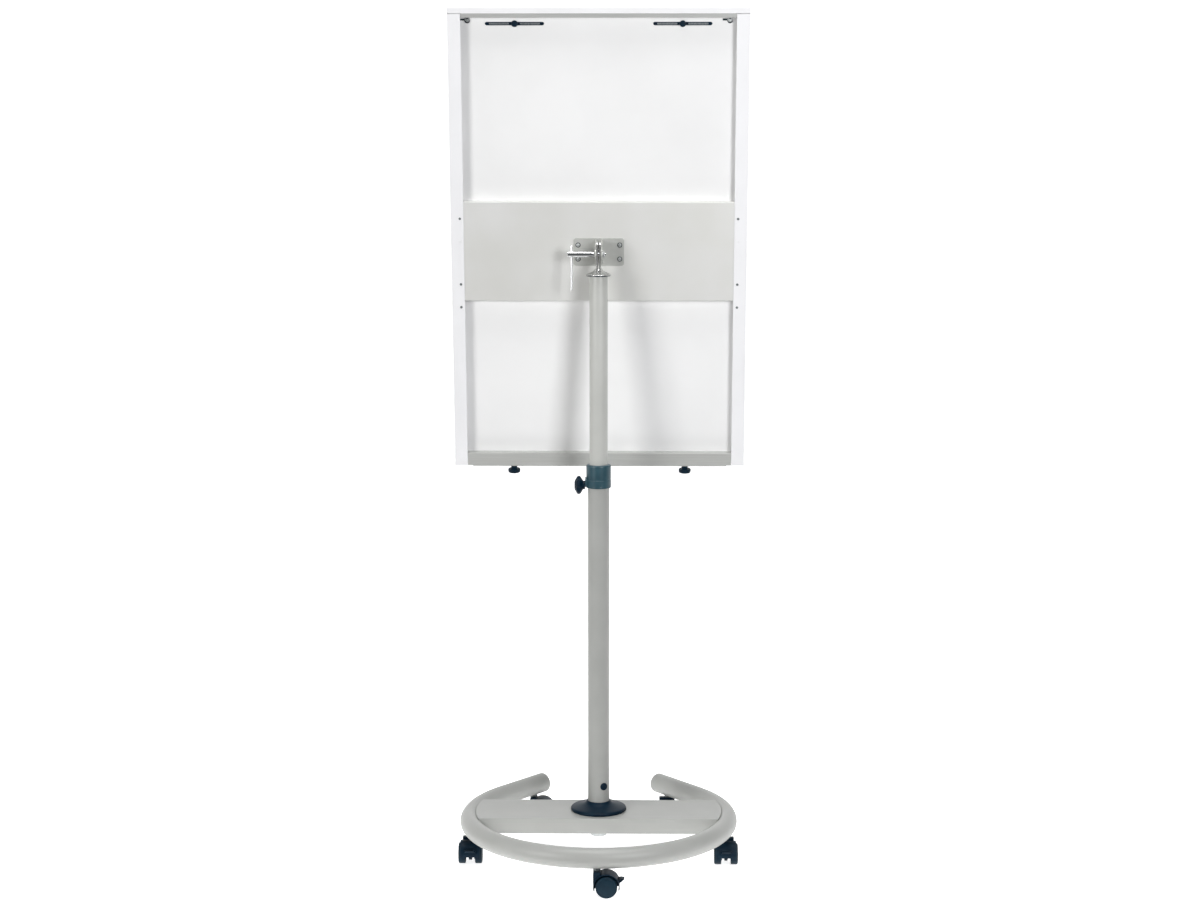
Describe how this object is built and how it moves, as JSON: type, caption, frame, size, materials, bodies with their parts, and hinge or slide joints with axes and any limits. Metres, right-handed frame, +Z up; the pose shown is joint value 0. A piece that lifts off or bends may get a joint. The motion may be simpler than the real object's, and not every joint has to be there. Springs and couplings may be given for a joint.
{
  "type": "mobile flipchart easel",
  "caption": "Mobile flipchart easel: tilting white writing board on a telescopic mast, over a C-shaped tube base with castors.",
  "frame": {"origin": "on the floor under the mast's axis, which is also within 6 mm of the middle of the bounding box's underside", "axes": "+Z up along the mast; the writing surface faces -Y; +X is the right-hand side of a person who faces the board"},
  "size_m": [0.683, 0.6532, 1.9793],
  "materials": {
    "grey_coated_steel": "satin powder coat, fine texture",
    "white_coated_steel": "satin white powder coat",
    "white_enamelled_steel": "smooth white enamel",
    "light_grey_coated_steel": "matte light grey coat",
    "grey_aluminium": "grey coated aluminium profile",
    "chromed_steel": "polished chrome",
    "zinc_plated_steel": "bright zinc plate",
    "black_plastic": "moulded, fine texture",
    "black_tyre_plastic": "moulded, satin",
    "natural_plastic": "moulded, natural white"
  },
  "bodies": {
    "base": {"base_ring": "grey_coated_steel", "ring_end_cap_left": "grey_coated_steel", "ring_end_cap_right": "grey_coated_steel", "base_crossbar": "grey_coated_steel", "mast_foot_bolt": "zinc_plated_steel", "mast_foot_cover": "black_plastic", "lower_mast_tube": "grey_coated_steel", "mast_lock_screw": "black_plastic", "clamp_collar": "black_plastic", "castor_stem_rear": "zinc_plated_steel", "castor_stem_right_side": "zinc_plated_steel", "castor_stem_left_side": "zinc_plated_steel", "castor_stem_right_front": "zinc_plated_steel", "castor_stem_left_front": "zinc_plated_steel"},
    "guide_bush": {"mast_guide_bush": "natural_plastic"},
    "upper_mast": {"upper_mast_tube": "grey_coated_steel", "mast_top_cap": "grey_coated_steel", "tilt_nut": "zinc_plated_steel"},
    "clamp_knob": {"clamp_knob": "black_plastic"},
    "tilt_bolt": {"tilt_clamp_bolt": "chromed_steel"},
    "tommy_bar": {"tommy_bar": "chromed_steel"},
    "board": {"tilt_bracket": "zinc_plated_steel", "bracket_screw_1": "zinc_plated_steel", "bracket_screw_2": "zinc_plated_steel", "bracket_screw_3": "zinc_plated_steel", "bracket_screw_4": "zinc_plated_steel", "writing_panel": "white_enamelled_steel", "side_channel_left": "white_coated_steel", "side_channel_right": "white_coated_steel", "top_rail": "white_coated_steel", "back_plate": "light_grey_coated_steel", "bottom_rail": "grey_aluminium", "pen_tray": "light_grey_coated_steel", "clamp_bar_bracket_left": "zinc_plated_steel", "clamp_bar_bracket_right": "zinc_plated_steel"},
    "clamp_bar": {"clamp_bar": "grey_aluminium"},
    "hook_left": {"pad_hook_left": "black_plastic", "hook_disc_left": "black_plastic"},
    "hook_right": {"pad_hook_right": "black_plastic", "hook_disc_right": "black_plastic"},
    "tray_knob_left": {"tray_knob_left": "black_plastic"},
    "tray_knob_right": {"tray_knob_right": "black_plastic"},
    "castor_rear": {"castor_hood_rear": "black_plastic"},
    "wheel_rear_a": {"castor_wheel_rear_a": "black_tyre_plastic"},
    "wheel_rear_b": {"castor_wheel_rear_b": "black_tyre_plastic"},
    "brake_rear": {"brake_lever_rear": "black_plastic"},
    "castor_right_side": {"castor_hood_right_side": "black_plastic"},
    "wheel_right_side_a": {"castor_wheel_right_side_a": "black_tyre_plastic"},
    "wheel_right_side_b": {"castor_wheel_right_side_b": "black_tyre_plastic"},
    "brake_right_side": {"brake_lever_right_side": "black_plastic"},
    "castor_left_side": {"castor_hood_left_side": "black_plastic"},
    "wheel_left_side_a": {"castor_wheel_left_side_a": "black_tyre_plastic"},
    "wheel_left_side_b": {"castor_wheel_left_side_b": "black_tyre_plastic"},
    "brake_left_side": {"brake_lever_left_side": "black_plastic"},
    "castor_right_front": {"castor_hood_right_front": "black_plastic"},
    "wheel_right_front_a": {"castor_wheel_right_front_a": "black_tyre_plastic"},
    "wheel_right_front_b": {"castor_wheel_right_front_b": "black_tyre_plastic"},
    "castor_left_front": {"castor_hood_left_front": "black_plastic"},
    "wheel_left_front_a": {"castor_wheel_left_front_a": "black_tyre_plastic"},
    "wheel_left_front_b": {"castor_wheel_left_front_b": "black_tyre_plastic"}
  },
  "joints": [
    {"name": "mast_height", "type": "slide", "parent": "base", "child": "guide_bush", "axis": [0, 0, 1], "range_m": [-0.36, 0.06]},
    {"name": "mast_swivel", "type": "hinge", "parent": "guide_bush", "child": "upper_mast", "pos_m": [0, 0, 1], "axis": [0, 0, 1], "continuous": true},
    {"name": "collar_knob_turn", "type": "hinge", "parent": "base", "child": "clamp_knob", "pos_m": [0.045, 0, 0.8855], "axis": [1, 0, 0], "range_deg": [0, 360]},
    {"name": "board_tilt", "type": "hinge", "parent": "upper_mast", "child": "board", "pos_m": [0, 0, 1.4197], "axis": [-1, 0, 0], "range_deg": [-8, 72]},
    {"name": "tilt_bolt_turn", "type": "hinge", "parent": "upper_mast", "child": "tilt_bolt", "pos_m": [0.04, 0, 1.4197], "axis": [1, 0, 0], "range_deg": [0, 90]},
    {"name": "tommy_bar_slide", "type": "slide", "parent": "tilt_bolt", "child": "tommy_bar", "axis": [0, 0, 1], "range_m": [-0.01, 0.062]},
    {"name": "clamp_bar_lift", "type": "hinge", "parent": "board", "child": "clamp_bar", "pos_m": [0, -0.01174, 1.95555], "axis": [-1, 0, 0], "range_deg": [0, 80]},
    {"name": "pad_hook_left_slide", "type": "slide", "parent": "board", "child": "hook_left", "axis": [-1, 0, 0], "range_m": [-0.06, 0.06]},
    {"name": "pad_hook_right_slide", "type": "slide", "parent": "board", "child": "hook_right", "axis": [1, 0, 0], "range_m": [-0.06, 0.06]},
    {"name": "tray_knob_left_turn", "type": "hinge", "parent": "board", "child": "tray_knob_left", "pos_m": [-0.202, -0.13714, 0.90377], "axis": [0, 0.1392, 0.9903], "range_deg": [0, 360]},
    {"name": "tray_knob_right_turn", "type": "hinge", "parent": "board", "child": "tray_knob_right", "pos_m": [0.202, -0.13714, 0.90377], "axis": [0, 0.1392, 0.9903], "range_deg": [0, 360]},
    {"name": "castor_rear_swivel", "type": "hinge", "parent": "base", "child": "castor_rear", "pos_m": [0, 0.303, 0.05], "axis": [0, 0, 1], "continuous": true},
    {"name": "wheel_rear_a_spin", "type": "hinge", "parent": "castor_rear", "child": "wheel_rear_a", "pos_m": [-0.022, 0.303, 0.0247], "axis": [0, -1, 0], "continuous": true},
    {"name": "wheel_rear_b_spin", "type": "hinge", "parent": "castor_rear", "child": "wheel_rear_b", "pos_m": [-0.022, 0.303, 0.0247], "axis": [0, -1, 0], "continuous": true},
    {"name": "brake_rear_press", "type": "hinge", "parent": "castor_rear", "child": "brake_rear", "pos_m": [-0.05374, 0.303, 0.03689], "axis": [0, -1, 0], "range_deg": [0, 14]},
    {"name": "castor_right_side_swivel", "type": "hinge", "parent": "base", "child": "castor_right_side", "pos_m": [0.29867, 0.05105, 0.05], "axis": [0, 0, 1], "continuous": true},
    {"name": "wheel_right_side_a_spin", "type": "hinge", "parent": "castor_right_side", "child": "wheel_right_side_a", "pos_m": [0.29867, 0.07305, 0.0247], "axis": [-1, 0, 0], "continuous": true},
    {"name": "wheel_right_side_b_spin", "type": "hinge", "parent": "castor_right_side", "child": "wheel_right_side_b", "pos_m": [0.29867, 0.07305, 0.0247], "axis": [-1, 0, 0], "continuous": true},
    {"name": "brake_right_side_press", "type": "hinge", "parent": "castor_right_side", "child": "brake_right_side", "pos_m": [0.29867, 0.10479, 0.03689], "axis": [-1, 0, 0], "range_deg": [0, 14]},
    {"name": "castor_left_side_swivel", "type": "hinge", "parent": "base", "child": "castor_left_side", "pos_m": [-0.29867, 0.05105, 0.05], "axis": [0, 0, 1], "continuous": true},
    {"name": "wheel_left_side_a_spin", "type": "hinge", "parent": "castor_left_side", "child": "wheel_left_side_a", "pos_m": [-0.29867, 0.07305, 0.0247], "axis": [-1, 0, 0], "continuous": true},
    {"name": "wheel_left_side_b_spin", "type": "hinge", "parent": "castor_left_side", "child": "wheel_left_side_b", "pos_m": [-0.29867, 0.07305, 0.0247], "axis": [-1, 0, 0], "continuous": true},
    {"name": "brake_left_side_press", "type": "hinge", "parent": "castor_left_side", "child": "brake_left_side", "pos_m": [-0.29867, 0.10479, 0.03689], "axis": [-1, 0, 0], "range_deg": [0, 14]},
    {"name": "castor_right_front_swivel", "type": "hinge", "parent": "base", "child": "castor_right_front", "pos_m": [0.16506, -0.27891, 0.05], "axis": [0, 0, 1], "continuous": true},
    {"name": "wheel_right_front_a_spin", "type": "hinge", "parent": "castor_right_front", "child": "wheel_right_front_a", "pos_m": [0.14305, -0.27891, 0.0247], "axis": [0, -1, 0], "continuous": true},
    {"name": "wheel_right_front_b_spin", "type": "hinge", "parent": "castor_right_front", "child": "wheel_right_front_b", "pos_m": [0.14305, -0.27891, 0.0247], "axis": [0, -1, 0], "continuous": true},
    {"name": "castor_left_front_swivel", "type": "hinge", "parent": "base", "child": "castor_left_front", "pos_m": [-0.16506, -0.27891, 0.05], "axis": [0, 0, 1], "continuous": true},
    {"name": "wheel_left_front_a_spin", "type": "hinge", "parent": "castor_left_front", "child": "wheel_left_front_a", "pos_m": [-0.16506, -0.25691, 0.0247], "axis": [-1, 0, 0], "continuous": true},
    {"name": "wheel_left_front_b_spin", "type": "hinge", "parent": "castor_left_front", "child": "wheel_left_front_b", "pos_m": [-0.16506, -0.25691, 0.0247], "axis": [-1, 0, 0], "continuous": true}
  ]
}
